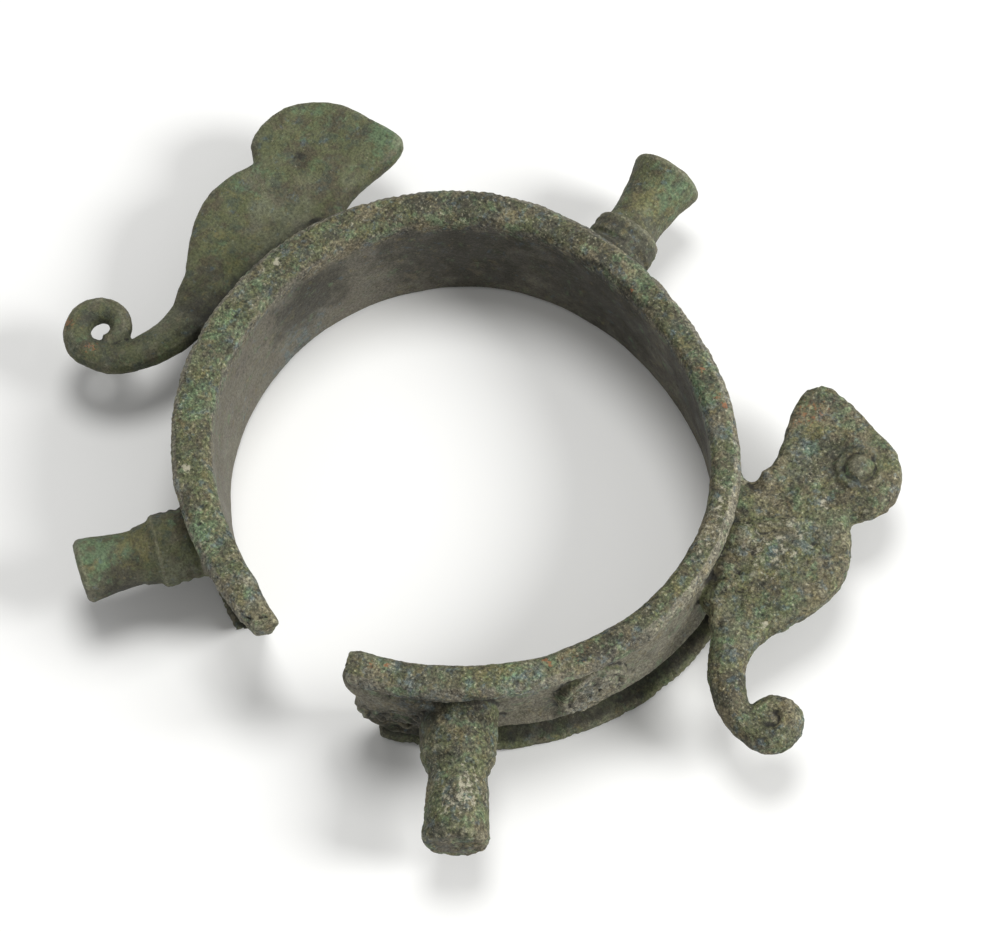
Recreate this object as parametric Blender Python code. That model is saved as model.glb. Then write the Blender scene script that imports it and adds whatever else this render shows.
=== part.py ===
"""Manilla: an open bracelet cast in one piece, with two chameleons and three flared studs.

The hoop lies on its lower rim. Its gap faces -Y, one stud points to +Y and the
other two stand beside the gap. The chameleons lie flat at mid height on both
sides, bellies to the hoop, heads towards the far stud and tails curled outwards.
Plan angles are measured about the middle of the hoop, from +X towards +Y.
All sizes are in metres.
"""

import math

import bmesh
import bpy
from mathutils import Matrix, Vector

# Hoop in plan: the inner wall is a circle with slow waves, each as count round the hoop, swell, angle of a crest
INNER_RADIUS = 0.0336
WAVES = (
    (1, 0.00113, math.radians(-86.0)),
    (2, 0.00147, math.radians(-5.8)),
    (3, 0.00042, math.radians(6.3)),
    (4, 0.00017, math.radians(15.4)),
)

# Hoop in section
BAND_HEIGHT = 0.0206
TOP_RIM_WIDTH = 0.0049
TOP_RIM_SWELL = 0.0009
TOP_RIM_SWELL_ANGLE = math.radians(195.0)
TOP_RIM_THICKNESS = 0.0030
LOWER_RIM_WIDTH = 0.0045
LOWER_RIM_THICKNESS = 0.0021
WALL_THICKNESS = 0.0024
WALL_RIDGE = 0.0008
WALL_RIDGE_RISE = 0.0034
GROOVE_DEPTH = 0.0007
EDGE_ROUND = 0.0006
TOP_EDGE_ROUND = 0.0009

# Right terminal: it leans back towards its foot and its outer side, and its inner corner is round
RIGHT_END_ANGLE = math.radians(-81.0)
RIGHT_END_LEAN = 0.0030
RIGHT_END_SLANT = 0.0012
RIGHT_END_CORNER = 0.0016
RIGHT_END_FLARE = 0.0006
# Left terminal: only a lip under the top rim is left of it, bent outwards, and the wall below is broken away
LEFT_END_ANGLE = math.radians(263.0)
LEFT_END_SLANT = 0.0014
LEFT_END_FLARE = 0.00275
LIP_DEPTH = 0.0056
BREAK_LENGTH = 0.0095
# Length over which the wall bends outwards to a terminal, and the outer edge's share of that bend
END_FLARE_LENGTH = 0.0163
OUTER_SHARE_OF_FLARE = 0.4

# Flared studs: plan angle, reach beyond the circle of the inner wall, neck and end diameters, end of the collar
STUD_HEIGHT = BAND_HEIGHT / 2.0
STUDS = {
    "stud_right": (math.radians(-56.3), 0.0223, 0.0081, 0.0089, 0.0114),
    "stud_back": (math.radians(92.4), 0.0194, 0.0077, 0.0097, 0.0108),
    "stud_left": (math.radians(230.1), 0.0219, 0.0075, 0.0089, 0.0108),
}
COLLAR_DIAMETER = 0.0104
COLLAR_STEP = 0.0004
# Collar as share of its length and steps in from its full radius: a drum, a groove, a ring and the neck
COLLAR_PROFILE = ((0.0, 0), (0.60, 0), (0.68, 2), (0.74, 0), (0.88, 0), (0.93, 3))
FLARE_SHARES = (0.0, 0.35, 0.65, 0.9)
FLARE_POWER = 1.6
END_DOME = 0.0005

# Oval bosses on the outer wall: plan angle, height above mid height, width, lift above the wall
BOSSES = {
    "boss_right": (math.radians(-28.4), 0.0001, 0.0094, 0.0014),
    "boss_left": (math.radians(208.4), 0.0001, 0.0094, 0.0014),
    "swirl_right": (math.radians(-67.6), -0.0009, 0.0132, 0.0022),
    "swirl_left": (math.radians(241.3), -0.0002, 0.0120, 0.0019),
}
RIDGE_SPACING = 0.0018
BOSS_OVAL = 1.12
BOSS_GROOVE = 0.0004
BOSS_EDGE_SHARE = 0.35
BOSS_CROWN_SHARE = 0.25
BOSS_HEART_SHARE = 0.6
# One ridge of a boss as share of the ridge spacing in from its outer edge, and share of the groove's depth
RIDGE_PROFILE = ((0.30, 0.0), (0.65, 0.0), (0.85, 1.0))

# Chameleons: they lie just above mid height
BODY_HEIGHT = BAND_HEIGHT / 2.0 + 0.0003
BODY_THICKNESS = 0.0036
BODY_EDGE = 0.0011
TAIL_THICKNESS = 0.0043

# Outline of each animal from throat to rump, as distance out from the circle of the inner wall and place along Y
RIGHT_BODY = (
    (0.0004, 0.0191), (0.0016, 0.0209), (0.0017, 0.0238), (0.0006, 0.0274), (-0.0005, 0.0314),
    (-0.0003, 0.0348), (0.0024, 0.0363), (0.0068, 0.0356), (0.0110, 0.0344), (0.0150, 0.0330),
    (0.0176, 0.0306), (0.0187, 0.0273), (0.0176, 0.0235), (0.0153, 0.0213), (0.0172, 0.0184),
    (0.0192, 0.0145), (0.0190, 0.0095), (0.0174, 0.0052), (0.0153, 0.0013), (0.0140, -0.0018),
    (0.0096, -0.0030), (0.0068, -0.0004),
)
LEFT_BODY = (
    (0.0014, 0.0208), (0.0040, 0.0222), (0.0048, 0.0250), (0.0041, 0.0290), (0.0032, 0.0330),
    (0.0034, 0.0360), (0.0053, 0.0370), (0.0096, 0.0370), (0.0142, 0.0367), (0.0183, 0.0348),
    (0.0213, 0.0314), (0.0224, 0.0274), (0.0218, 0.0240), (0.0196, 0.0219), (0.0208, 0.0193),
    (0.0220, 0.0150), (0.0216, 0.0110), (0.0199, 0.0066), (0.0172, 0.0022), (0.0155, -0.0028),
    (0.0106, -0.0042), (0.0068, -0.0014),
)
# Middle line of each tail before its curl, in the same two measures, with its width
RIGHT_TAIL = (
    (0.0116, 0.0030, 0.0064), (0.0118, -0.0010, 0.0062), (0.0128, -0.0050, 0.0054),
    (0.0152, -0.0084, 0.0049), (0.0184, -0.0108, 0.0044),
)
LEFT_TAIL = (
    (0.0127, 0.0030, 0.0068), (0.0126, -0.0023, 0.0066), (0.0134, -0.0071, 0.0057),
    (0.0154, -0.0111, 0.0051), (0.0185, -0.0141, 0.0047),
)
# Curls: middle, radius of the middle line at the start and at the end, width at the start and end, turn
RIGHT_CURL = (0.0226, -0.0090, 0.0027, 0.0017, 0.0041, 0.0028, math.radians(400.0))
LEFT_CURL = (0.0221, -0.0111, 0.0038, 0.0024, 0.0043, 0.0031, math.radians(315.0))
# Width of a tube where it tapers into the next, as a share of its full width
LAP_SHARE = 0.9
# Button that closes the right curl: its radius, its share of the tail's thickness, the share that is flat
HEART_RADIUS = 0.0011
HEART_SHARE = 0.6
HEART_FLAT = 0.7

# The right animal's eyes stand proud. The left animal is worn smooth: it has neither eyes nor limbs
RIGHT_EYE = (0.0125, 0.0279)
EYE_RING = 0.0063
EYE_LIFT = 0.0011
# Eye as share of the ring's radius and share of the lift: outer edge, ring, groove, dome
EYE_PROFILE = ((1.0, 0.25), (0.88, 0.5), (0.6, 0.3), (0.42, 0.85), (0.0, 1.0))

# Limbs that reach from the right body to the hoop: two ends each
RIGHT_LIMBS = (((0.0100, 0.0165), (0.0049, 0.0125)), ((0.0096, 0.0075), (0.0056, 0.0020)))
LIMB_DIAMETER = 0.0026
LIMB_LIFT = 0.0009
# Limb as share of its length and share of its full section
LIMB_PROFILE = ((0.0, 0.55), (0.12, 1.0), (0.5, 1.0), (0.88, 1.0), (1.0, 0.55))

# How far into the wall each piece that grows out of it is rooted
ROOT = WALL_THICKNESS / 2.0

# Fineness of the faceted surfaces
BAND_STATIONS = 84
STUD_SIDES = 20
BOSS_SIDES = 16
EYE_SIDES = 12
TAIL_SIDES = 10
CURL_STATIONS = 24
BODY_POINTS_PER_SPAN = 2
TAIL_POINTS_PER_SPAN = 3
WALL_LINE_STEPS = 5
SHARP_ANGLE = math.radians(40.0)
MERGE_DISTANCE = 1e-6

# Looks
BRONZE_COLOUR = (0.075, 0.082, 0.052, 1.0)
BRONZE_ROUGHNESS = 0.72
BRONZE_METALLIC = 0.35


def clear_scene():
    """Remove every object of the open scene."""
    for existing in list(bpy.data.objects):
        bpy.data.objects.remove(existing, do_unlink=True)


def inner_radius(angle):
    """Distance of the inner wall from the middle, without the bend at a terminal."""
    return INNER_RADIUS + sum(swell * math.cos(count * (angle - crest)) for count, swell, crest in WAVES)


def end_flare(angle):
    """How far the inner wall bends outwards close to a terminal."""
    flare = 0.0
    ends = ((angle - RIGHT_END_ANGLE, RIGHT_END_FLARE), (LEFT_END_ANGLE - angle, LEFT_END_FLARE))
    for turn, bend in ends:
        share = min(1.0, max(0.0, 1.0 - turn * INNER_RADIUS / END_FLARE_LENGTH))
        flare += bend * share * share
    return flare


def top_rim_width(angle):
    """Width of the top rim, which is widest on the left."""
    return TOP_RIM_WIDTH + TOP_RIM_SWELL * math.cos(angle - TOP_RIM_SWELL_ANGLE)


def band_section(rim_width):
    """The hoop's section as (distance out from the inner wall, height), anticlockwise."""
    under_top = BAND_HEIGHT - TOP_RIM_THICKNESS
    over_groove = LOWER_RIM_THICKNESS + GROOVE_DEPTH
    groove_bottom = WALL_THICKNESS - GROOVE_DEPTH
    ridge_height = LOWER_RIM_THICKNESS + WALL_RIDGE_RISE
    return [
        (0.0, EDGE_ROUND),
        (EDGE_ROUND, 0.0),
        (LOWER_RIM_WIDTH - EDGE_ROUND, 0.0),
        (LOWER_RIM_WIDTH, EDGE_ROUND),
        (LOWER_RIM_WIDTH, LOWER_RIM_THICKNESS - EDGE_ROUND),
        (LOWER_RIM_WIDTH - EDGE_ROUND, LOWER_RIM_THICKNESS),
        (groove_bottom, over_groove),
        (groove_bottom, over_groove + EDGE_ROUND),
        (WALL_THICKNESS + WALL_RIDGE, ridge_height),
        (WALL_THICKNESS, ridge_height + 2.0 * WALL_RIDGE + EDGE_ROUND),
        (WALL_THICKNESS, under_top - EDGE_ROUND),
        (rim_width - EDGE_ROUND, under_top),
        (rim_width, under_top + EDGE_ROUND),
        (rim_width, BAND_HEIGHT - TOP_EDGE_ROUND),
        (rim_width - TOP_EDGE_ROUND, BAND_HEIGHT),
        (TOP_EDGE_ROUND, BAND_HEIGHT),
        (0.0, BAND_HEIGHT - TOP_EDGE_ROUND),
    ]


def right_end(out, height):
    """Plan angle at which the right terminal ends, for a point of the section."""
    lean = RIGHT_END_LEAN * (1.0 - height / BAND_HEIGHT)
    slant = RIGHT_END_SLANT * out / TOP_RIM_WIDTH
    corner = RIGHT_END_CORNER * max(0.0, 1.0 - out / RIGHT_END_CORNER) ** 2
    return RIGHT_END_ANGLE + (lean + slant + corner) / INNER_RADIUS


def left_end(out, height):
    """Plan angle at which the left terminal ends: its lower part is broken away."""
    lip_bottom = BAND_HEIGHT - LIP_DEPTH
    broken = BREAK_LENGTH * max(0.0, 1.0 - height / lip_bottom)
    slant = LEFT_END_SLANT * out / TOP_RIM_WIDTH
    return LEFT_END_ANGLE - (broken + slant) / INNER_RADIUS


def band_ring(share):
    """One section of the hoop, at this share of the way from the right to the left end."""
    middle = RIGHT_END_ANGLE + share * (LEFT_END_ANGLE - RIGHT_END_ANGLE)
    ring = []
    for out, height in band_section(top_rim_width(middle)):
        start = right_end(out, height)
        angle = start + share * (left_end(out, height) - start)
        bend = end_flare(angle) * (1.0 - (1.0 - OUTER_SHARE_OF_FLARE) * out / TOP_RIM_WIDTH)
        radius = inner_radius(angle) + bend + out
        ring.append(Vector((radius * math.cos(angle), radius * math.sin(angle), height)))
    return ring


def new_object(name, bm):
    """Turn a bmesh into an object with outward normals and smooth shading."""
    bmesh.ops.recalc_face_normals(bm, faces=bm.faces)
    mesh = bpy.data.meshes.new(name)
    bm.to_mesh(mesh)
    bm.free()
    mesh.shade_smooth()
    mesh.set_sharp_from_angle(angle=SHARP_ANGLE)
    made = bpy.data.objects.new(name, mesh)
    bpy.context.collection.objects.link(made)
    return made


def loft(name, rings):
    """A closed solid through rings of equal point count, with a face at each end."""
    bm = bmesh.new()
    rows = [[bm.verts.new(point) for point in ring] for ring in rings]
    for near, far in zip(rows[:-1], rows[1:]):
        for index in range(len(near)):
            after = (index + 1) % len(near)
            bm.faces.new((near[index], near[after], far[after], far[index]))
    bm.faces.new(rows[0])
    bm.faces.new(rows[-1])
    return new_object(name, bm)


def turned(name, profile, sides, matrix, oval=1.0):
    """A solid of revolution: the profile is (radius, distance along the axis), with its ends on the axis."""
    bm = bmesh.new()
    points = [bm.verts.new((radius, 0.0, along)) for radius, along in profile]
    edges = [bm.edges.new(pair) for pair in zip(points[:-1], points[1:])]
    bmesh.ops.spin(
        bm,
        geom=points + edges,
        cent=(0.0, 0.0, 0.0),
        axis=(0.0, 0.0, 1.0),
        angle=math.tau,
        steps=sides,
        use_merge=True,
    )
    bmesh.ops.remove_doubles(bm, verts=bm.verts, dist=MERGE_DISTANCE)
    bmesh.ops.scale(bm, vec=(oval, 1.0, 1.0), verts=bm.verts)
    bmesh.ops.transform(bm, matrix=matrix, verts=bm.verts)
    return new_object(name, bm)


def outward_matrix(angle, distance, height):
    """Stands a turned shape's axis along this plan angle, its start at this distance from the middle."""
    place = Matrix.Translation((distance * math.cos(angle), distance * math.sin(angle), height))
    out = Matrix.Rotation(angle, 4, "Z") @ Matrix.Rotation(math.pi / 2.0, 4, "Y")
    return place @ out @ Matrix.Rotation(math.pi / 2.0, 4, "Z")


def build_stud(name, angle, reach, neck, end, collar_end):
    """A stud: a stepped collar on the wall, a neck, and a flare to a slightly domed end."""
    start = inner_radius(angle) + ROOT
    length = INNER_RADIUS + reach - start
    drum = COLLAR_DIAMETER / 2.0
    neck_start = collar_end - ROOT
    profile = [(0.0, 0.0)]
    for share, steps in COLLAR_PROFILE:
        profile.append((drum - steps * COLLAR_STEP, share * neck_start))
    for share in FLARE_SHARES:
        along = neck_start + share * (length - neck_start)
        profile.append((neck / 2.0 + (end - neck) / 2.0 * share ** FLARE_POWER, along))
    profile.append((end / 2.0, length - 2.0 * END_DOME))
    profile.append((end / 2.0 - END_DOME, length - END_DOME / 2.0))
    profile.append((0.0, length))
    return turned(name, profile, STUD_SIDES, outward_matrix(angle, start, STUD_HEIGHT))


def build_boss(name, angle, rise, width, lift):
    """A low oval boss on the outer wall, with as many concentric ridges round its button as fit."""
    start = inner_radius(angle) + ROOT
    base = WALL_THICKNESS - ROOT
    top = base + lift
    radius = width / 2.0
    ridges = max(1, round(radius / RIDGE_SPACING - BOSS_HEART_SHARE))
    spacing = radius / (ridges + BOSS_HEART_SHARE)
    profile = [(0.0, 0.0), (radius, 0.0), (radius, base + BOSS_EDGE_SHARE * lift)]
    for ridge in range(ridges):
        level = top - BOSS_CROWN_SHARE * lift * (ridges - 1 - ridge) / ridges
        for inward, depth in RIDGE_PROFILE:
            profile.append((radius - (ridge + inward) * spacing, level - depth * BOSS_GROOVE))
    profile.append((BOSS_HEART_SHARE / 2.0 * spacing, top))
    profile.append((0.0, top))
    matrix = outward_matrix(angle, start, BAND_HEIGHT / 2.0 + rise)
    return turned(name, profile, BOSS_SIDES, matrix, BOSS_OVAL)


def curve_through(points, per_span):
    """Points of a smooth open Catmull-Rom curve through these, of any number of values each."""
    last = len(points) - 1
    smooth = []
    for span in range(last):
        a, b, c, d = (points[min(max(span + shift, 0), last)] for shift in (-1, 0, 1, 2))
        for step in range(per_span):
            t = step / per_span
            smooth.append(tuple(
                0.5 * (2.0 * q + (r - p) * t + (2.0 * p - 5.0 * q + 4.0 * r - s) * t * t
                       + (3.0 * q - p - 3.0 * r + s) * t ** 3)
                for p, q, r, s in zip(a, b, c, d)
            ))
    smooth.append(points[-1])
    return smooth


def plan_point(side, out, along):
    """A point beside the hoop, on its right (side +1) or left (side -1), at the animals' mid height."""
    return Vector((side * (INNER_RADIUS + out), along, BODY_HEIGHT))


def wall_line(side, first, last):
    """Points inside the hoop's wall on one side, between two places along Y."""
    line = []
    for step in range(WALL_LINE_STEPS + 1):
        along = first + (last - first) * step / WALL_LINE_STEPS
        slope = math.asin(along / INNER_RADIUS)
        angle = slope if side > 0 else math.pi - slope
        radius = inner_radius(angle) + ROOT
        line.append(Vector((radius * math.cos(angle), radius * math.sin(angle), BODY_HEIGHT)))
    return line


def build_body(name, side, outline):
    """A chameleon's flat body and head, with rounded edges, rooted in the wall."""
    border = [plan_point(side, out, along) for out, along in curve_through(outline, BODY_POINTS_PER_SPAN)]
    border += wall_line(side, outline[-1][1] + ROOT, outline[0][1] - ROOT)
    lift = Vector((0.0, 0.0, BODY_THICKNESS))
    bm = bmesh.new()
    face = bm.faces.new([bm.verts.new(point - lift / 2.0) for point in border])
    raised = bmesh.ops.extrude_face_region(bm, geom=[face])
    top = [piece for piece in raised["geom"] if isinstance(piece, bmesh.types.BMVert)]
    bmesh.ops.translate(bm, vec=lift, verts=top)
    bmesh.ops.recalc_face_normals(bm, faces=bm.faces)
    level = [edge for edge in bm.edges if abs(edge.verts[0].co.z - edge.verts[1].co.z) < MERGE_DISTANCE]
    bmesh.ops.bevel(
        bm,
        geom=level,
        offset=BODY_EDGE,
        offset_type="OFFSET",
        segments=2,
        profile=0.5,
        affect="EDGES",
        material=-1,
        clamp_overlap=True,
    )
    return new_object(name, bm)


def oval_ring(centre, run, width, height):
    """An upright oval ring across a level direction."""
    across = Vector((run.y, -run.x, 0.0)).normalized() * (width / 2.0)
    up = Vector((0.0, 0.0, height / 2.0))
    turns = [math.tau * corner / TAIL_SIDES for corner in range(TAIL_SIDES)]
    return [centre + across * math.cos(turn) + up * math.sin(turn) for turn in turns]


def tube_rings(side, stations):
    """Rings through (out, along, width) stations, no higher than the tail's thickness."""
    places = [plan_point(side, out, along) for out, along, _ in stations]
    rings = []
    for index, (_, _, width) in enumerate(stations):
        run = places[min(index + 1, len(places) - 1)] - places[max(index - 1, 0)]
        rings.append(oval_ring(places[index], run, width, min(width, TAIL_THICKNESS)))
    return rings


def curl_stations(curl):
    """Stations of a curl, which starts at its bottom and runs outwards and up."""
    middle_out, middle_along, start_radius, end_radius, start_width, end_width, turn = curl
    stations = []
    for step in range(CURL_STATIONS + 1):
        share = step / CURL_STATIONS
        angle = turn * share - math.pi / 2.0
        radius = start_radius + (end_radius - start_radius) * share
        width = start_width + (end_width - start_width) * share
        out = middle_out + radius * math.cos(angle)
        stations.append((out, middle_along + radius * math.sin(angle), width))
    return stations


def slimmer(ring):
    """The same ring, drawn in a little towards its own middle."""
    middle = sum(ring, Vector()) / len(ring)
    return [middle.lerp(point, LAP_SHARE) for point in ring]


def build_tail(name, side, path, curl):
    """The tail as two tubes that lap halfway round the curl, each tapering into the other, so that it can close."""
    coil = curl_stations(curl)
    lead = curve_through(list(path) + coil[:1], TAIL_POINTS_PER_SPAN)[:-1]
    rings = tube_rings(side, lead + coil)
    lap = len(lead) + CURL_STATIONS // 2
    first = rings[:lap] + [slimmer(rings[lap])]
    second = [slimmer(rings[lap - 1])] + rings[lap:]
    return [loft(f"{name}_lead", first), loft(f"{name}_curl", second)]


def build_heart(name, side, curl):
    """The button that fills the middle of a closed curl."""
    lift = TAIL_THICKNESS / 2.0 * HEART_SHARE
    flat = HEART_RADIUS * HEART_FLAT
    profile = [(0.0, -lift), (flat, -lift), (HEART_RADIUS, -lift / 2.0)]
    profile += [(HEART_RADIUS, lift / 2.0), (flat, lift), (0.0, lift)]
    matrix = Matrix.Translation(plan_point(side, curl[0], curl[1]))
    return turned(name, profile, EYE_SIDES, matrix)


def build_eye(name, side, place):
    """Round eyes on both faces of a head: a dome within a low ring."""
    ring = EYE_RING / 2.0
    sunk = BODY_THICKNESS / 4.0
    profile = [(0.0, -sunk), (ring, -sunk)]
    profile += [(share * ring, height * EYE_LIFT) for share, height in EYE_PROFILE]
    eyes = []
    for face, turn in (("upper", 0.0), ("lower", math.pi)):
        centre = Matrix.Translation(plan_point(side, *place)) @ Matrix.Rotation(turn, 4, "X")
        matrix = centre @ Matrix.Translation((0.0, 0.0, BODY_THICKNESS / 2.0))
        eyes.append(turned(f"{name}_{face}", profile, EYE_SIDES, matrix))
    return eyes


def build_limb(name, side, ends):
    """A limb that stands proud of both faces of the body and reaches the hoop."""
    start, finish = (plan_point(side, *end) for end in ends)
    rings = []
    for share, full in LIMB_PROFILE:
        height = BODY_THICKNESS + 2.0 * LIMB_LIFT * full
        rings.append(oval_ring(start.lerp(finish, share), finish - start, LIMB_DIAMETER * full, height))
    return loft(name, rings)


def build_chameleon(name, side, outline, path, curl):
    """One animal's body and tail."""
    return [build_body(f"{name}_body", side, outline)] + build_tail(f"{name}_tail", side, path, curl)


def build_right_details(name):
    """What only the right animal still has: eyes, limbs and a closed curl."""
    details = build_eye(f"{name}_eye", 1, RIGHT_EYE)
    for number, ends in enumerate(RIGHT_LIMBS, start=1):
        details.append(build_limb(f"{name}_limb_{number}", 1, ends))
    details.append(build_heart(f"{name}_curl_heart", 1, RIGHT_CURL))
    return details


def bronze():
    """Patinated copper alloy."""
    material = bpy.data.materials.new("patinated_bronze")
    material.use_nodes = True
    shader = material.node_tree.nodes["Principled BSDF"]
    shader.inputs["Base Color"].default_value = BRONZE_COLOUR
    shader.inputs["Roughness"].default_value = BRONZE_ROUGHNESS
    shader.inputs["Metallic"].default_value = BRONZE_METALLIC
    return material


def join(whole, shapes):
    """Unite the shapes with the hoop, so that the casting is one solid."""
    for shape in shapes:
        union = whole.modifiers.new(f"join_{shape.name}", "BOOLEAN")
        union.operation = "UNION"
        union.solver = "EXACT"
        union.object = shape
        shape.hide_render = True
        shape.display_type = "WIRE"


def centre_on_origin(whole, shapes):
    """Put the middle of the finished casting's box over the origin, with its underside at height 0."""
    bpy.context.view_layer.update()
    finished = whole.evaluated_get(bpy.context.evaluated_depsgraph_get())
    corners = [Vector(corner) for corner in finished.bound_box]
    lowest = Vector(min(corner[axis] for corner in corners) for axis in range(3))
    highest = Vector(max(corner[axis] for corner in corners) for axis in range(3))
    frame = bpy.data.objects.new("manilla_frame", None)
    bpy.context.collection.objects.link(frame)
    for piece in [whole] + shapes:
        piece.parent = frame
    frame.location = (-(lowest.x + highest.x) / 2.0, -(lowest.y + highest.y) / 2.0, -lowest.z)


def main():
    """Model the casting."""
    clear_scene()
    manilla = loft("manilla", [band_ring(step / BAND_STATIONS) for step in range(BAND_STATIONS + 1)])
    shapes = [build_stud(name, *sizes) for name, sizes in STUDS.items()]
    shapes += [build_boss(name, *sizes) for name, sizes in BOSSES.items()]
    shapes += build_chameleon("chameleon_right", 1, RIGHT_BODY, RIGHT_TAIL, RIGHT_CURL)
    shapes += build_right_details("chameleon_right")
    shapes += build_chameleon("chameleon_left", -1, LEFT_BODY, LEFT_TAIL, LEFT_CURL)
    join(manilla, shapes)
    manilla.data.materials.append(bronze())
    centre_on_origin(manilla, shapes)


main()
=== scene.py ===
"""The dressed manilla: one weathered bronze casting with two chameleons and three flared studs.

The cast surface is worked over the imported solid. A copy of the solid gets small rounded lumps for the limbs
and the filled terminal, is remeshed as one skin, and is then turned, ringed, worn, pitted and crusted.
Working sizes are in millimetres in the part's own frame, and the finished mesh is in metres.
"""

import logging
import math
from dataclasses import dataclass, field
from enum import Enum

import bmesh
import bpy
import numpy as np
from mathutils import Matrix, Vector, noise


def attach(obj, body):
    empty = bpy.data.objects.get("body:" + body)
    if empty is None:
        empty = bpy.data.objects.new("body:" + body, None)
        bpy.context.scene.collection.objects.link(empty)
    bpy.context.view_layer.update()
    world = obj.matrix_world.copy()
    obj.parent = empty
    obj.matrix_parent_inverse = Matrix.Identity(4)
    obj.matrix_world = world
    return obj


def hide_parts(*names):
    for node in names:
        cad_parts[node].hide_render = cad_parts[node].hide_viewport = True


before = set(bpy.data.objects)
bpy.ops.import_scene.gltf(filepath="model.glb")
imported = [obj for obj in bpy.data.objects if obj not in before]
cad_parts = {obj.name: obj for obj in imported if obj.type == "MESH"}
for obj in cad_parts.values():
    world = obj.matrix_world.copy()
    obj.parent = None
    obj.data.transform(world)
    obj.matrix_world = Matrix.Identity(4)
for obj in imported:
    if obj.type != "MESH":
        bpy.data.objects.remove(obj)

LOG = logging.getLogger("manilla")
MM = 0.001
NODE = "manilla"

Point = tuple[float, float, float]
Pair = tuple[float, float]

NOISE_SMOOTHNESS = 1.0
NOISE_SHRINK = 2.0
NOISE_STEP = (17.3, 5.1, 9.7)
CELL_STEP = (3.7, 11.9, 7.3)
CELL_CHANCE_STEP = 7.31


def srgb(code: str) -> tuple[float, float, float, float]:
    """Turn an sRGB hex colour into Blender's linear colour.

    Args:
        code: Six hex digits after a hash.

    Returns:
        Linear red, green, blue and an alpha of 1.
    """
    shares = [int(code[place:place + 2], 16) / 255.0 for place in (1, 3, 5)]
    linear = [share / 12.92 if share <= 0.04045 else ((share + 0.055) / 1.055) ** 2.4 for share in shares]
    return (linear[0], linear[1], linear[2], 1.0)


def ease(values: np.ndarray, start: float, end: float) -> np.ndarray:
    """Rise smoothly from 0 at the start to 1 at the end, or fall where the end is the lower of the two."""
    share = np.clip((values - start) / (end - start), 0.0, 1.0)
    return share * share * (3.0 - 2.0 * share)


def ripple(places: np.ndarray, pitch: float) -> np.ndarray:
    """Even wave of this pitch, from -1 in its troughs to 1 on its crests."""
    return np.cos(2.0 * np.pi * places / pitch)


@dataclass(frozen=True)
class Grain:
    """Fractal noise: its coarsest size in millimetres, how often that is halved, and which pattern it is."""

    size: float
    octaves: int
    seed: int

    def at(self, points: np.ndarray) -> np.ndarray:
        """Value of about -1 to 1 at each point."""
        scaled = (points / self.size + np.array(NOISE_STEP) * self.seed).tolist()
        values = [noise.fractal(place, NOISE_SMOOTHNESS, NOISE_SHRINK, self.octaves) for place in scaled]
        return np.array(values)


@dataclass(frozen=True)
class Wear:
    """How unevenly a cut survives: a grain about a mean share, kept between two limits."""

    grain: Grain
    mean: float
    spread: float
    least: float
    most: float

    def at(self, points: np.ndarray) -> np.ndarray:
        """Share of the cut that is left at each point."""
        return np.clip(self.mean + self.spread * self.grain.at(points), self.least, self.most)


def cells(points: np.ndarray, size: float, seed: int) -> tuple[np.ndarray, np.ndarray]:
    """Distance to the nearest of many scattered centres, and a random share for each centre.

    Args:
        points: Places in millimetres.
        size: Mean spacing of the centres in millimetres.
        seed: Chooses one of many like patterns.

    Returns:
        Distances as shares of the spacing, and a random value of 0 to 1 for each point's own centre.
    """
    scaled = (points / size + np.array(CELL_STEP) * seed).tolist()
    found = [noise.voronoi(place) for place in scaled]
    distance = np.array([item[0][0] for item in found])
    chance = np.array([noise.cell(item[1][0] * CELL_CHANCE_STEP) for item in found])
    return distance, (chance + 1.0) / 2.0


@dataclass(frozen=True)
class HoopPlan:
    """The hoop seen from above, as the casting's solid has it."""

    middle: tuple[float, float] = (0.24, -2.23)
    radius: float = 33.6
    waves: tuple[tuple[int, float, float], ...] = (
        (1, 1.13, -86.0),
        (2, 1.47, -5.8),
        (3, 0.42, 6.3),
        (4, 0.17, 15.4),
    )
    height: float = 20.6
    rim_width: float = 4.9
    rim_swell: float = 0.9
    rim_swell_angle: float = 195.0
    rim_thickness: float = 3.0
    lower_rim_width: float = 4.5
    lower_rim_thickness: float = 2.1
    wall: float = 2.4
    gap_angle: float = -89.0

    def angle(self, points: np.ndarray) -> np.ndarray:
        """Plan angle of each point in degrees, from one side of the gap round to the other."""
        turn = np.degrees(np.arctan2(points[:, 1] - self.middle[1], points[:, 0] - self.middle[0]))
        return np.where(turn < self.gap_angle, turn + 360.0, turn)

    def wall_radius(self, angle: np.ndarray) -> np.ndarray:
        """Distance of the inner wall from the middle at these plan angles."""
        total = np.full_like(angle, self.radius)
        for count, swell, crest in self.waves:
            total += swell * np.cos(np.radians(count * (angle - crest)))
        return total

    def out(self, points: np.ndarray) -> np.ndarray:
        """Distance of each point outwards from the inner wall."""
        reach = np.hypot(points[:, 0] - self.middle[0], points[:, 1] - self.middle[1])
        return reach - self.wall_radius(self.angle(points))

    def rim(self, angle: np.ndarray) -> np.ndarray:
        """Width of the top rim at these plan angles."""
        return self.rim_width + self.rim_swell * np.cos(np.radians(angle - self.rim_swell_angle))


HOOP = HoopPlan()


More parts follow.
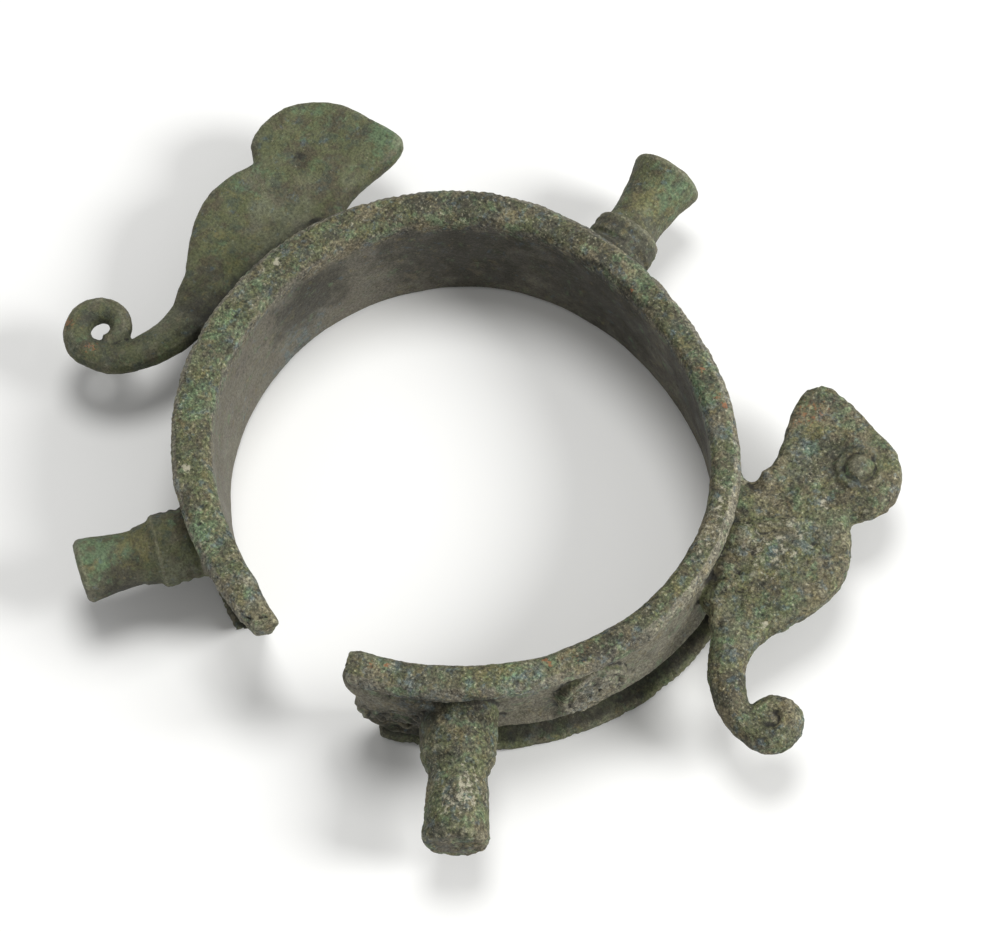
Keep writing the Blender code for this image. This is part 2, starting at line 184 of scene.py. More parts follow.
@dataclass(frozen=True)
class Lump:
    """A small rounded form modelled on the wax: where its middle is, its half sizes and its turn about Z."""

    centre: Point
    half: Point
    turn: float
    segments: int = 20
    rings: int = 12

    def model(self, bm: bmesh.types.BMesh) -> None:
        """Add the lump to the wax as a flattened ball.

        Args:
            bm: The wax.
        """
        made = bmesh.ops.create_uvsphere(bm, u_segments=self.segments, v_segments=self.rings, radius=MM)
        turned = Matrix.Rotation(math.radians(self.turn), 4, "Z")
        matrix = Matrix.Translation(Vector(self.centre) * MM) @ turned @ Matrix.Diagonal((*self.half, 1.0))
        bmesh.ops.transform(bm, matrix=matrix, verts=made["verts"])


@dataclass
class Skin:
    """The casting's surface while it is worked: its points and normals, the relief, and any move to come."""

    points: np.ndarray
    normals: np.ndarray
    relief: np.ndarray = field(init=False)
    move: np.ndarray = field(init=False)
    angle: np.ndarray = field(init=False)
    out: np.ndarray = field(init=False)

    HOOP_FADE = (2.0, 0.6)
    TOP_FADE = (0.8, 2.2)
    INSIDE_FADE = (1.0, 0.4)
    INSIDE_TOP_FADE = 1.4
    OUTWARD_FADE = (0.2, 0.7)

    def __post_init__(self) -> None:
        """Measure every point against the hoop."""
        self.relief = np.zeros(len(self.points))
        self.move = np.zeros_like(self.points)
        self.angle = HOOP.angle(self.points)
        self.out = HOOP.out(self.points)

    @classmethod
    def of(cls, mesh: bpy.types.Mesh) -> "Skin":
        """Read a mesh as a skin.

        Args:
            mesh: The mesh, in metres.

        Returns:
            Its points in millimetres with their normals.
        """
        points = np.empty(len(mesh.vertices) * 3)
        mesh.vertices.foreach_get("co", points)
        normals = np.empty(len(mesh.vertices) * 3)
        mesh.vertex_normals.foreach_get("vector", normals)
        return cls(points.reshape(-1, 3) / MM, normals.reshape(-1, 3))

    @property
    def height(self) -> np.ndarray:
        """Height of each point above the ground."""
        return self.points[:, 2]

    def on_hoop(self) -> np.ndarray:
        """Share to which each point lies on the hoop itself."""
        outer, inner = self.HOOP_FADE
        return ease(self.out, HOOP.rim_width + outer, HOOP.rim_width + inner)

    def on_top(self) -> np.ndarray:
        """Share to which each point belongs to the top rim."""
        below, down = self.TOP_FADE
        foot = HOOP.height - HOOP.rim_thickness - below
        return self.on_hoop() * ease(self.height, foot, HOOP.height - down)

    def inside(self) -> np.ndarray:
        """Share to which each point belongs to the wall's inner face."""
        below_rim = ease(self.height, HOOP.height, HOOP.height - self.INSIDE_TOP_FADE)
        return ease(self.out, *self.INSIDE_FADE) * below_rim

    def faces_out(self) -> np.ndarray:
        """Share to which each point faces away from the middle of the hoop."""
        turn = np.radians(self.angle)
        outward = self.normals[:, 0] * np.cos(turn) + self.normals[:, 1] * np.sin(turn)
        return ease(outward, *self.OUTWARD_FADE)

    def near(self, centre: Point, radius: float) -> np.ndarray:
        """Share that falls from 1 at a centre to 0 at this distance from it."""
        return ease(np.linalg.norm(self.points - np.array(centre), axis=1), radius, 0.0)


@dataclass(frozen=True)
class Hollow:
    """A place pressed into the surface, or raised where its depth is below 0, fading over its radius."""

    centre: Point
    radius: float
    depth: float

    def press(self, skin: Skin) -> None:
        """Sink or raise the skin here."""
        skin.relief -= self.depth * skin.near(self.centre, self.radius)


@dataclass(frozen=True)
class Crack:
    """A wavering crack between two points, which a grain of its own may close in places."""

    start: Point
    end: Point
    width: float
    depth: float
    wander: float
    wander_grain: Grain
    closing_grain: Grain | None = None
    closing_fade: Pair = (-0.3, 0.1)

    def cut(self, skin: Skin) -> None:
        """Sink the crack into the skin.

        Args:
            skin: The surface being worked.
        """
        start = np.array(self.start)
        run = np.array(self.end) - start
        share = np.clip((skin.points - start) @ run / (run @ run), 0.0, 1.0)
        away = np.linalg.norm(skin.points - (start + share[:, None] * run), axis=1)
        away += self.wander * self.wander_grain.at(skin.points)
        cut = self.depth * ease(away, self.width, 0.0)
        if self.closing_grain:
            cut *= ease(self.closing_grain.at(skin.points), *self.closing_fade)
        skin.relief -= cut


class Side(Enum):
    """The two animals, by the side of the hoop that they stand on."""

    RIGHT = 1
    LEFT = -1


@dataclass
class Hoop:
    """The open hoop: a milled top rim, a fluted lower rim, two ringed bosses, a crack and a pit."""

    milling_pitch: float = 1.15
    milling_depth: float = 0.12
    milling_slant: float = 0.35
    milling_wear: Wear = Wear(Grain(9.0, 2, 3), 0.55, 0.6, 0.1, 1.2)
    milled_fade: Pair = (-1.3, 0.2)
    flute_pitch: float = 1.05
    flute_depth: float = 0.16
    flute_wear: Wear = Wear(Grain(3.5, 2, 6), 0.55, 0.9, 0.0, 1.2)
    flute_wander: float = 0.35
    flute_wander_grain: Grain = Grain(5.0, 1, 7)
    fluted_top_fade: float = 1.0
    fluted_fade: Pair = (0.6, -0.4)
    chip_grain: Grain = Grain(2.4, 3, 5)
    chip_fade: Pair = (0.25, 0.75)
    chip_depth: float = 0.35
    boss_angles: Pair = (-28.4, 208.4)
    boss_height: float = 10.4
    boss_radius: float = 5.2
    boss_fade: float = 1.0
    boss_crest: float = 3.1
    boss_pitch: float = 1.5
    boss_depth: float = 0.26
    boss_wander: float = 0.2
    boss_wander_grain: Grain = Grain(3.0, 2, 10)
    crack: Crack = Crack(
        (-22.6, -27.5, 20.5), (-18.8, -30.7, 20.2), 0.35, 0.45, 0.3, Grain(1.6, 2, 8), Grain(2.2, 1, 9)
    )
    pit: Hollow = Hollow((-33.2, -5.7, 19.3), 1.1, 0.5)

    def relief(self, skin: Skin) -> None:
        """Cut the milling, the flutes, the chipped edges, the bosses' rings, the crack and the pit.

        Args:
            skin: The surface being worked.
        """
        milled = self.milled(skin)
        fluted = self.fluted(skin)
        along = np.radians(skin.angle) * (HOOP.radius + HOOP.rim_width)
        rope = 0.5 + 0.5 * ripple(along + self.milling_slant * skin.height, self.milling_pitch)
        skin.relief -= self.milling_depth * rope * milled * self.milling_wear.at(skin.points)
        wander = self.flute_wander * self.flute_wander_grain.at(skin.points)
        flutes = 0.5 + 0.5 * ripple(along + wander, self.flute_pitch)
        skin.relief -= self.flute_depth * fluted * flutes * self.flute_wear.at(skin.points)
        chips = ease(self.chip_grain.at(skin.points), *self.chip_fade)
        skin.relief -= self.chip_depth * chips * np.maximum(milled, fluted)
        self.crack.cut(skin)
        self.ring_bosses(skin)
        self.pit.press(skin)

    def milled(self, skin: Skin) -> np.ndarray:
        """Share to which each point lies on the milled outer edge of the top rim.

        Args:
            skin: The surface being worked.

        Returns:
            One share for each point.
        """
        inner, outer = self.milled_fade
        narrowest = HOOP.rim(skin.angle).min()
        return skin.on_top() * ease(skin.out, narrowest + inner, HOOP.rim_width + outer)

    def fluted(self, skin: Skin) -> np.ndarray:
        """Share to which each point lies on the fluted edge of the lower rim.

        Args:
            skin: The surface being worked.

        Returns:
            One share for each point.
        """
        inner, outer = self.fluted_fade
        top = HOOP.lower_rim_thickness
        low = skin.on_hoop() * ease(skin.height, top + self.fluted_top_fade, top)
        return low * ease(skin.out, HOOP.wall + inner, HOOP.lower_rim_width + outer)

    def ring_bosses(self, skin: Skin) -> None:
        """Ripple the two oval bosses on the outer wall with rings about their middles.

        Args:
            skin: The surface being worked.
        """
        for angle in self.boss_angles:
            aside = np.radians(skin.angle - angle) * (HOOP.radius + HOOP.lower_rim_width)
            away = np.hypot(aside, skin.height - self.boss_height)
            away += self.boss_wander * self.boss_wander_grain.at(skin.points)
            rings = self.boss_depth * ripple(away - self.boss_crest, self.boss_pitch) * skin.faces_out()
            skin.relief += rings * ease(away, self.boss_radius, self.boss_radius - self.boss_fade)


@dataclass
class Terminals:
    """The two ends of the hoop: the right one swirled, the left one broken to a bent lobed lip."""

    pad: tuple[Lump, ...] = (
        Lump((8.1, -37.7, 15.6), (2.4, 2.2, 3.6), 12.0),
        Lump((10.7, -37.4, 14.0), (3.6, 2.2, 5.2), 16.0),
        Lump((14.2, -36.0, 13.8), (3.6, 2.1, 4.6), 22.0),
    )
    swirl_centre: Point = (13.6, -38.0, 8.6)
    swirl_fade: Pair = (8.5, 3.0)
    swirl_top_fade: Pair = (18.2, 17.2)
    swirl_last_angle: float = -52.0
    swirl_pitch: float = 1.15
    swirl_depth: float = 0.17
    swirl_wander: float = 1.3
    swirl_wander_grain: Grain = Grain(5.0, 2, 12)
    hollows: tuple[Hollow, ...] = (
        Hollow((13.0, -38.6, 6.0), 2.3, 1.3),
        Hollow((15.2, -37.6, 6.4), 2.3, 1.3),
        Hollow((16.6, -36.8, 5.6), 2.3, 1.3),
    )
    bulge: Hollow = Hollow((-11.2, -36.0, 20.6), 2.6, -0.55)
    waist: Hollow = Hollow((-11.9, -41.0, 19.6), 2.3, 0.7)
    crack: Crack = Crack((-9.1, -41.2, 20.4), (-5.8, -38.6, 20.4), 0.4, 0.5, 0.35, Grain(1.4, 2, 14))

    def model(self, bm: bmesh.types.BMesh) -> None:
        """Fill the right terminal out to its top rim."""
        for lump in self.pad:
            lump.model(bm)

    def relief(self, skin: Skin) -> None:
        """Raise the swirls and the bulge, and sink the hollows, the waist and the crack.

        Args:
            skin: The surface being worked.
        """
        below_rim = ease(skin.height, *self.swirl_top_fade)
        wall = skin.faces_out() * below_rim * (skin.angle < self.swirl_last_angle)
        distance = np.linalg.norm(skin.points - np.array(self.swirl_centre), axis=1)
        wander = self.swirl_wander * self.swirl_wander_grain.at(skin.points)
        swirls = ripple(distance + wander, self.swirl_pitch)
        skin.relief += self.swirl_depth * swirls * wall * ease(distance, *self.swirl_fade)
        for place in (*self.hollows, self.bulge, self.waist):
            place.press(skin)
        self.crack.cut(skin)


@dataclass(frozen=True)
class Stud:
    """A flared stud: where it stands on the hoop, and the profile and the rings of its collar.

    Lengths along the stud start at the middle of the hoop. The profile gives a radius at each of its lengths.
    """

    angle: float
    reach: float
    ring_start: float
    ring_end: float
    ring_pitch: float
    ring_depth: float
    flare: float
    profile: tuple[Pair, ...]
    height: float = 10.3
    radius: float = 6.2
    fade: float = 0.7
    ring_wear: Wear = Wear(Grain(4.0, 2, 21), 0.8, 0.7, 0.1, 1.3)
    ring_start_fade: float = 0.8
    ring_end_fade: float = 0.6
    flare_length: float = 5.0
    flare_rim: float = 0.6
    side_facing: Pair = (0.8, 0.4)
    least_away: float = 0.01

    def relief(self, skin: Skin) -> None:
        """Turn the collar to its profile, cut its rings and open the end.

        Args:
            skin: The surface being worked.
        """
        turn = math.radians(self.angle)
        axis = np.array((math.cos(turn), math.sin(turn), 0.0))
        start = np.array((HOOP.middle[0], HOOP.middle[1], self.height))
        along = (skin.points - start) @ axis
        aside = skin.points - start - along[:, None] * axis
        away = np.maximum(np.linalg.norm(aside, axis=1), self.least_away)
        self.turn_collar(skin, along, aside, away)
        self.cut_rings(skin, along, away)
        end = HOOP.radius + self.reach
        around = (away < self.radius) * ease(np.abs(skin.normals @ axis), *self.side_facing)
        skin.relief += self.flare * around * ease(along, end - self.flare_length, end - self.flare_rim)

    def turn_collar(self, skin: Skin, along: np.ndarray, aside: np.ndarray, away: np.ndarray) -> None:
        """Move the collar's skin in or out to its profile.

        Args:
            skin: The surface being worked.
            along: How far along the stud each point lies.
            aside: The way from the stud's axis to each point.
            away: The length of that way.
        """
        places, radii = zip(*self.profile)
        turned = (away < self.radius) * ease(along, places[0], places[0] + self.fade)
        turned *= ease(along, places[-1], places[-1] - self.fade)
        wanted = np.interp(along, places, radii)
        skin.move += aside * (turned * (wanted / away - 1.0))[:, None]

    def cut_rings(self, skin: Skin, along: np.ndarray, away: np.ndarray) -> None:
        """Cut worn rings round the collar.

        Args:
            skin: The surface being worked.
            along: How far along the stud each point lies.
            away: Distance of each point from the stud's axis.
        """
        inside = ease(away, self.radius, self.radius - self.ring_end_fade)
        inside *= ease(along, self.ring_start, self.ring_start + self.ring_start_fade)
        inside *= ease(along, self.ring_end + self.ring_end_fade, self.ring_end)
        rings = 0.5 + 0.5 * ripple(along, self.ring_pitch)
        skin.relief -= self.ring_depth * inside * self.ring_wear.at(skin.points) * rings


RIGHT_STUD = Stud(
    angle=-56.3, reach=22.3, flare=0.10,
    ring_start=39.5, ring_end=42.0, ring_pitch=1.7, ring_depth=0.10,
    profile=((38.6, 5.3), (42.4, 5.2), (42.8, 4.95), (43.2, 5.15), (43.7, 5.1), (44.9, 4.4), (45.8, 4.35)),
)
BACK_STUD = Stud(
    angle=92.4, reach=19.4, flare=0.45,
    ring_start=38.5, ring_end=41.2, ring_pitch=1.3, ring_depth=0.12,
    profile=((38.4, 5.1), (41.2, 5.0), (41.9, 4.85), (42.3, 4.2), (42.9, 3.95), (44.4, 3.9), (46.0, 3.95)),
)
LEFT_STUD = Stud(
    angle=230.1, reach=21.9, flare=0.10,
    ring_start=37.5, ring_end=42.6, ring_pitch=1.5, ring_depth=0.22,
    profile=((38.4, 5.0), (40.0, 5.0), (44.0, 5.1), (44.4, 4.9), (44.8, 4.4), (46.4, 4.1), (47.4, 4.05)),
)


@dataclass
class Chameleon:
    """One of the two animals, with the small forms on it and the state of its surface."""

    side: Side
    eye: Point
    hollows: tuple[Hollow, ...]
    crust_lift: float
    lumps: tuple[Lump, ...] = ()
    nearest: float = 20.0
    lowest: float = 5.0
    highest: float = 16.0
    root_fade: Pair = (0.3, 1.2)
    flake_mm: float = 2.6
    flake_seed: int = 31
    flake_fade: Pair = (-0.05, 0.12)
    patch_mm: float = 7.0
    patch_seed: int = 35
    patch_fade: Pair = (-0.35, 0.15)
    scale_mm: float = 1.5
    scale_seed: int = 34
    scale_wander: float = 0.5
    scale_wander_grain: Grain = Grain(1.0, 2, 33)
    flake_share: float = 0.6
    scale_share: float = 0.8
    scale_mean: float = 0.4
    eye_lift: float = 0.0
    eye_radius: float = 4.6
    eye_dome: float = 1.9
    eye_groove: float = 2.3
    eye_groove_fade: Pair = (0.5, 0.1)
    eye_groove_share: float = 0.6
    eye_ring: float = 3.1
    eye_ring_fade: Pair = (0.6, 0.1)
    eye_ring_share: float = 0.35
    eye_facing: Pair = (0.3, 0.6)
    web_lift: float = 0.0
    web_width: float = 6.5
    web_curve: float = 1.6
    web_angles: tuple[float, float, float, float] = (142.0, 151.5, 154.5, 168.0)
    web_facing: Pair = (0.4, 0.8)

    def model(self, bm: bmesh.types.BMesh) -> None:
        """Add the animal's lumps to the wax."""
        for lump in self.lumps:
            lump.model(bm)

    def mask(self, skin: Skin) -> np.ndarray:
        """Share to which each point belongs to this animal.

        Args:
            skin: The surface being worked.

        Returns:
            One share for each point.
        """
        start, full = self.root_fade
        beyond_wall = ease(skin.out, HOOP.wall + start, HOOP.wall + full)
        aside = skin.points[:, 0] * self.side.value
        level = (skin.height > self.lowest) * (skin.height < self.highest)
        return beyond_wall * (aside > self.nearest) * level

    def relief(self, skin: Skin) -> None:
        """Lay the flaky crust on the body, press in the hollows, raise the throat's web and ring the eye.

        Args:
            skin: The surface being worked.
        """
        mask = self.mask(skin)
        skin.relief += self.crust_lift * self.crust(skin) * mask
        for hollow in self.hollows:
            hollow.press(skin)
        first, full, falling, last = self.web_angles
        beside = ease(skin.angle, first, full) * ease(skin.angle, last, falling)
        rise = ease(skin.out, HOOP.rim_width + self.web_width, HOOP.rim_width) ** self.web_curve
        skin.relief += self.web_lift * rise * beside * mask * ease(skin.normals[:, 2], *self.web_facing)
        self.ring_eye(skin, mask)

    def crust(self, skin: Skin) -> np.ndarray:
        """Height of the flaky crust, with the eye kept clear.

        Args:
            skin: The surface being worked.

        Returns:
            A share of the crust's lift for each point.
        """
        flake_grain = Grain(self.flake_mm, 3, self.flake_seed + self.side.value)
        patch_grain = Grain(self.patch_mm, 2, self.patch_seed + self.side.value)
        flakes = ease(flake_grain.at(skin.points), *self.flake_fade)
        patches = ease(patch_grain.at(skin.points), *self.patch_fade)
        wander = self.scale_wander * self.scale_wander_grain.at(skin.points)
        _, chance = cells(skin.points + wander[:, None], self.scale_mm, self.scale_seed)
        flaky = self.flake_share * flakes + self.scale_share * (chance - self.scale_mean)
        return flaky * patches * (1.0 - skin.near(self.eye, self.eye_radius))

    def ring_eye(self, skin: Skin, mask: np.ndarray) -> None:
        """Raise the eye's dome and ring, with a groove between them.

        Args:
            skin: The surface being worked.
            mask: Share to which each point belongs to this animal.
        """
        away = np.hypot(skin.points[:, 0] - self.eye[0], skin.points[:, 1] - self.eye[1])
        flat = mask * ease(skin.normals[:, 2], *self.eye_facing)
        dome = np.sqrt(np.clip(1.0 - (away / self.eye_dome) ** 2, 0.0, 1.0))
        ring = ease(np.abs(away - self.eye_ring), *self.eye_ring_fade)
        groove = ease(np.abs(away - self.eye_groove), *self.eye_groove_fade)
        eye = dome + self.eye_ring_share * ring - self.eye_groove_share * groove
        skin.relief += self.eye_lift * flat * eye


RIGHT_CHAMELEON = Chameleon(
    side=Side.RIGHT,
    eye=(46.3, 25.7, 13.4),
    lumps=(
        Lump((37.8, 8.2, 12.0), (2.8, 1.9, 1.6), 35.0),
        Lump((39.0, 3.2, 11.4), (3.1, 1.9, 1.7), 12.0),
        Lump((42.0, 0.3, 11.3), (2.6, 1.5, 1.4), 20.0),
        Lump((36.2, 18.3, 11.0), (1.2, 1.2, 1.5), 30.0),
    ),
    hollows=(
        Hollow((56.7, -11.0, 12.9), 1.1, 0.5),
        Hollow((35.0, 16.2, 11.6), 2.4, 1.2),
        Hollow((49.6, 18.6, 11.5), 1.8, 0.25),
    ),
    crust_lift=0.22,
    eye_lift=0.28,
)
LEFT_CHAMELEON = Chameleon(
    side=Side.LEFT,
    eye=(-47.9, 24.0, 12.4),
    hollows=(Hollow((-47.9, 24.0, 12.4), 2.6, 0.35),),
    crust_lift=0.05,
    web_lift=4.4,
)


class Patina(Enum):
    """The kinds of patch that lie on the bronze, each named for the attribute that carries it. Some umber
    patches are painted shade.
    """

    VERDIGRIS = "verdigris"
    OCHRE = "ochre"
    SLATE = "slate"
    UMBER_AND_SHADE = "umber_and_painted_shade"
    CRUST = "crust"
    RUST = "rust"


@dataclass(frozen=True)
class Patch:
    """A patch of patina: its middle and radius, and how strongly it shows."""

    centre: Point
    radius: float
    strength: float


PATCHES = {
    Patina.VERDIGRIS: (
        Patch((-38.8, 33.4, 12.4), 4.0, 1.0),
        Patch((-49.6, 31.5, 12.4), 6.0, 0.45),
        Patch((-52.1, 17.4, 12.4), 6.0, 0.4),
        Patch((-36.9, -7.8, 20.6), 5.0, 0.6),
        Patch((-32.9, -17.7, 20.6), 5.0, 0.7),
        Patch((-19.8, -33.4, 20.6), 5.0, 0.9),
        Patch((-33.6, -42.1, 15.0), 5.0, 0.9),
        Patch((2.2, 47.3, 15.0), 5.0, 0.9),
        Patch((28.1, -43.5, 15.0), 7.0, 0.35),
        Patch((6.2, 32.1, 20.6), 4.5, 0.8),
        Patch((23.9, 20.6, 20.6), 3.5, 0.8),
        Patch((26.2, -25.3, 20.6), 6.0, 0.7),
        Patch((50.4, 3.4, 12.4), 6.0, 0.4),
        Patch((46.9, -9.0, 12.4), 6.0, 0.3),
    ),
    Patina.OCHRE: (
        Patch((0.2, 44.1, 15.0), 4.5, 0.9),
        Patch((-30.1, -38.0, 15.0), 5.0, 0.8),
        Patch((37.6, 27.1, 12.4), 2.6, 1.0),
        Patch((24.4, -28.0, 20.6), 4.5, 0.7),
        Patch((-45.6, 8.0, 12.4), 9.0, 0.35),
        Patch((-31.6, 19.0, 20.6), 6.0, 0.6),
        Patch((45.4, 7.0, 12.4), 8.0, 0.45),
    ),
    Patina.SLATE: (
        Patch((15.3, -37.0, 18.0), 9.0, 0.5),
        Patch((28.4, -28.0, 18.0), 7.0, 0.6),
        Patch((-11.2, -36.0, 20.0), 4.0, 0.8),
        Patch((38.1, 24.7, 12.4), 2.8, 0.8),
        Patch((27.9, 17.5, 20.6), 5.0, 0.7),
        Patch((33.8, -21.5, 11.0), 4.5, 0.5),
        Patch((44.9, 12.5, 12.4), 5.0, 0.6),
        Patch((-32.6, 3.0, 2.0), 7.0, 0.7),
        Patch((-37.6, -24.5, 10.0), 7.0, 0.5),
    ),
    Patina.UMBER_AND_SHADE: (
        # back of the inner wall: darker patina with painted shade
        Patch((-19.1, 23.3, 12.0), 15.0, 0.9),
        Patch((1.6, 28.1, 12.0), 15.0, 1.0),
        Patch((20.4, 20.0, 12.0), 12.0, 0.8),
        # right stud's end: painted shade
        Patch((31.3, -48.7, 9.0), 5.5, 1.0),
        Patch((-53.6, -14.0, 9.0), 9.0, 0.5),
        # left stud's lower side: painted shade
        Patch((-31.5, -42.5, 7.5), 7.5, 1.0),
        Patch((-45.6, -4.0, 12.0), 6.0, 0.6),
        Patch((-31.5, 5.5, 12.0), 8.0, 1.0),
        Patch((36.2, -16.5, 20.0), 4.5, 1.0),
        Patch((24.5, -32.0, 16.8), 4.0, 1.0),
        Patch((17.0, -36.5, 16.5), 6.0, 0.9),
        Patch((14.0, -38.5, 8.0), 7.0, 0.8),
        Patch((42.0, 26.0, 12.4), 7.0, 0.4),
        Patch((50.0, -12.0, 12.4), 4.0, 0.7),
    ),
    Patina.CRUST: (
        Patch((28.5, -43.0, 15.0), 6.0, 0.62),
        Patch((36.0, 8.0, 20.6), 5.0, 0.6),
        Patch((-36.8, 5.6, 20.6), 1.1, 1.0),
        Patch((-37.5, 3.4, 20.6), 0.9, 0.9),
        Patch((-28.3, -27.1, 20.6), 1.0, 1.0),
        Patch((-11.2, -36.0, 20.8), 1.8, 0.45),
        Patch((45.1, 18.8, 12.4), 1.0, 1.0),
        Patch((45.5, 12.8, 12.4), 0.9, 1.0),
        Patch((48.2, -0.7, 12.4), 1.1, 0.9),
        Patch((12.4, -35.2, 20.6), 0.7, 1.0),
        Patch((37.2, 4.4, 20.6), 7.0, 0.55),
        Patch((42.4, 10.0, 12.4), 8.0, 0.55),
    ),
    Patina.RUST: (
        Patch((10.0, -36.8, 20.6), 0.6, 0.9),
        Patch((11.7, -35.6, 20.6), 0.5, 1.0),
        Patch((28.9, -23.4, 20.6), 0.7, 1.0),
        Patch((29.8, -23.6, 20.6), 0.5, 1.0),
        Patch((-34.4, 0.4, 20.6), 0.6, 1.0),
        Patch((26.7, 21.0, 20.6), 0.7, 0.9),
        Patch((28.1, 20.5, 20.6), 0.6, 0.9),
        Patch((22.1, 23.4, 20.6), 0.8, 0.8),
        Patch((7.4, 28.3, 20.6), 0.6, 0.8),
        Patch((35.9, 29.2, 12.4), 3.5, 0.45),
        Patch((31.4, -20.5, 20.6), 4.0, 0.25),
        Patch((-59.6, -15.5, 12.0), 1.6, 0.6),
        Patch((-54.4, -17.0, 12.0), 1.6, 0.6),
    ),
}


PATCH_REACH = 1.5


@dataclass
class Casting:
    """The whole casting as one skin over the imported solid."""

    voxel: float = 0.27
    soften_factor: float = 0.5
    soften_passes: int = 4
    most_triangles: int = 194000
    merge: float = 0.001
    highest_over_rim: float = 0.6
    swell_grain: Grain = Grain(9.0, 2, 41)
    swell_depth: float = 0.22
    rough_grain: Grain = Grain(1.5, 3, 43)
    rough_depth: float = 0.085
    inside_calm: float = 0.6
    fine_rough: float = 0.6
    coarse_rough: float = 0.8
    pit_spacing: float = 2.1
    pit_seed: int = 45
    pit_depth: float = 0.20
    pit_radius: Pair = (0.12, 0.3)
    pit_floor: float = 0.02
    pit_chance: Pair = (0.5, 1.0)
    eye_calm: float = 0.8
    head_calm: float = 0.5
    head_radius: float = 6.0
    rest_granular: float = 0.45
    recess_bend: Pair = (0.02, 0.30)
    wear_bend: Pair = (0.05, 0.35)
    outside_fade: Pair = (4.0, 6.0)
    bend_passes: int = 10
    bend_kept: float = 0.3
    hoop: Hoop = field(default_factory=Hoop)
    terminals: Terminals = field(default_factory=Terminals)
    studs: tuple[Stud, ...] = (RIGHT_STUD, BACK_STUD, LEFT_STUD)
    animals: tuple[Chameleon, ...] = (RIGHT_CHAMELEON, LEFT_CHAMELEON)

    def build(self) -> bpy.types.Object:
        """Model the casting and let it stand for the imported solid.

        Returns:
            The finished piece.
        """
        skin_mesh = self.wax()
        self.remesh(skin_mesh)
        self.work(skin_mesh.data)
        self.thin(skin_mesh)
        self.mark(skin_mesh.data)
        skin_mesh.data.shade_smooth()
        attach(skin_mesh, "root")
        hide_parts(NODE)
        LOG.info("%s: %d triangles", skin_mesh.name, self.triangles(skin_mesh))
        return skin_mesh

    def wax(self) -> bpy.types.Object:
        """Copy the solid, close its seams and add the small forms.

        Returns:
            The piece before it is remeshed.
        """
        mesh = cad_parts[NODE].data.copy()
        mesh.materials.clear()
        bm = bmesh.new()
        bm.from_mesh(mesh)
        bmesh.ops.remove_doubles(bm, verts=bm.verts, dist=self.merge * MM)
        for part in (self.terminals, *self.animals):
            part.model(bm)
        bm.to_mesh(mesh)
        bm.free()
        mesh.name = "manilla_casting"
        piece = bpy.data.objects.new("manilla_casting", mesh)
        bpy.context.scene.collection.objects.link(piece)
        return piece

    def remesh(self, piece: bpy.types.Object) -> None:
        """Turn the overlapping forms into one even skin with softened joins.

        Args:
            piece: The wax.
        """
        remesh = piece.modifiers.new("one_skin", "REMESH")
        remesh.mode = "VOXEL"
        remesh.voxel_size = self.voxel * MM
        remesh.adaptivity = 0.0
        soften = piece.modifiers.new("soften", "SMOOTH")
        soften.factor = self.soften_factor
        soften.iterations = self.soften_passes
        self.apply(piece)

    def apply(self, piece: bpy.types.Object) -> None:
        """Put the piece's evaluated shape into its mesh and drop its modifiers.

        Args:
            piece: A piece with modifiers.
        """
        bpy.context.view_layer.update()
        graph = bpy.context.evaluated_depsgraph_get()
        finished = bpy.data.meshes.new_from_object(piece.evaluated_get(graph))
        piece.modifiers.clear()
        piece.data = finished
        piece.data.name = piece.name

    def triangles(self, piece: bpy.types.Object) -> int:
        """How many triangles the piece's faces make."""
        return sum(len(face.vertices) - 2 for face in piece.data.polygons)

    def work(self, mesh: bpy.types.Mesh) -> None:
        """Move the skin's points along their normals by all the relief, and the collars to their profiles.

        Args:
            mesh: The remeshed casting.
        """
        skin = Skin.of(mesh)
        self.hoop.relief(skin)
        self.terminals.relief(skin)
        for part in (*self.studs, *self.animals):
            part.relief(skin)
        self.weather(skin)
        moved = skin.points + skin.normals * skin.relief[:, None] + skin.move
        moved[:, 2] = np.clip(moved[:, 2], 0.0, HOOP.height + self.highest_over_rim)
        mesh.vertices.foreach_set("co", (moved * MM).ravel())
        mesh.update()

    def weather(self, skin: Skin) -> None:
        """Add the unevenness of the cast, its rough bloom and its pits, with the inner wall kept smoother.

        Args:
            skin: The surface being worked.
        """
        calm = 1.0 - self.inside_calm * skin.inside()
        calm = calm * (self.fine_rough + self.coarse_rough * self.granular(skin))
        skin.relief += self.swell_depth * self.swell_grain.at(skin.points)
        skin.relief += self.rough_depth * self.rough_grain.at(skin.points) * calm
        distance, chance = cells(skin.points, self.pit_spacing, self.pit_seed)
        least, more = self.pit_radius
        sunk = ease(distance, least + more * chance, self.pit_floor) * ease(chance, *self.pit_chance)
        for animal in self.animals:
            calm = calm * (1.0 - self.eye_calm * skin.near(animal.eye, animal.eye_radius))
        skin.relief -= self.pit_depth * sunk * calm

    def granular(self, skin: Skin) -> np.ndarray:
        """Share to which each point is coarsely grained: the top rim and the right animal most.

        Args:
            skin: The surface being worked.

        Returns:
            One share for each point, lowest on the inner wall and on the left animal.
        """
        calm_head = 1.0 - self.head_calm * skin.near(self.animals[0].eye, self.head_radius)
        animals = [part.mask(skin) for part in self.animals]
        off_animals = 1.0 - np.clip(animals[0] + animals[1], 0.0, 1.0)
        rest = self.rest_granular * (1.0 - skin.inside()) * off_animals
        return np.maximum.reduce((skin.on_top(), animals[0] * calm_head, rest))

    def thin(self, piece: bpy.types.Object) -> None:
        """Collapse faces where the skin is flattest until the piece is light enough.

        Args:
            piece: The worked casting.
        """
        decimate = piece.modifiers.new("thin", "DECIMATE")
        decimate.decimate_type = "COLLAPSE"
        decimate.ratio = min(1.0, self.most_triangles / self.triangles(piece))
        self.apply(piece)

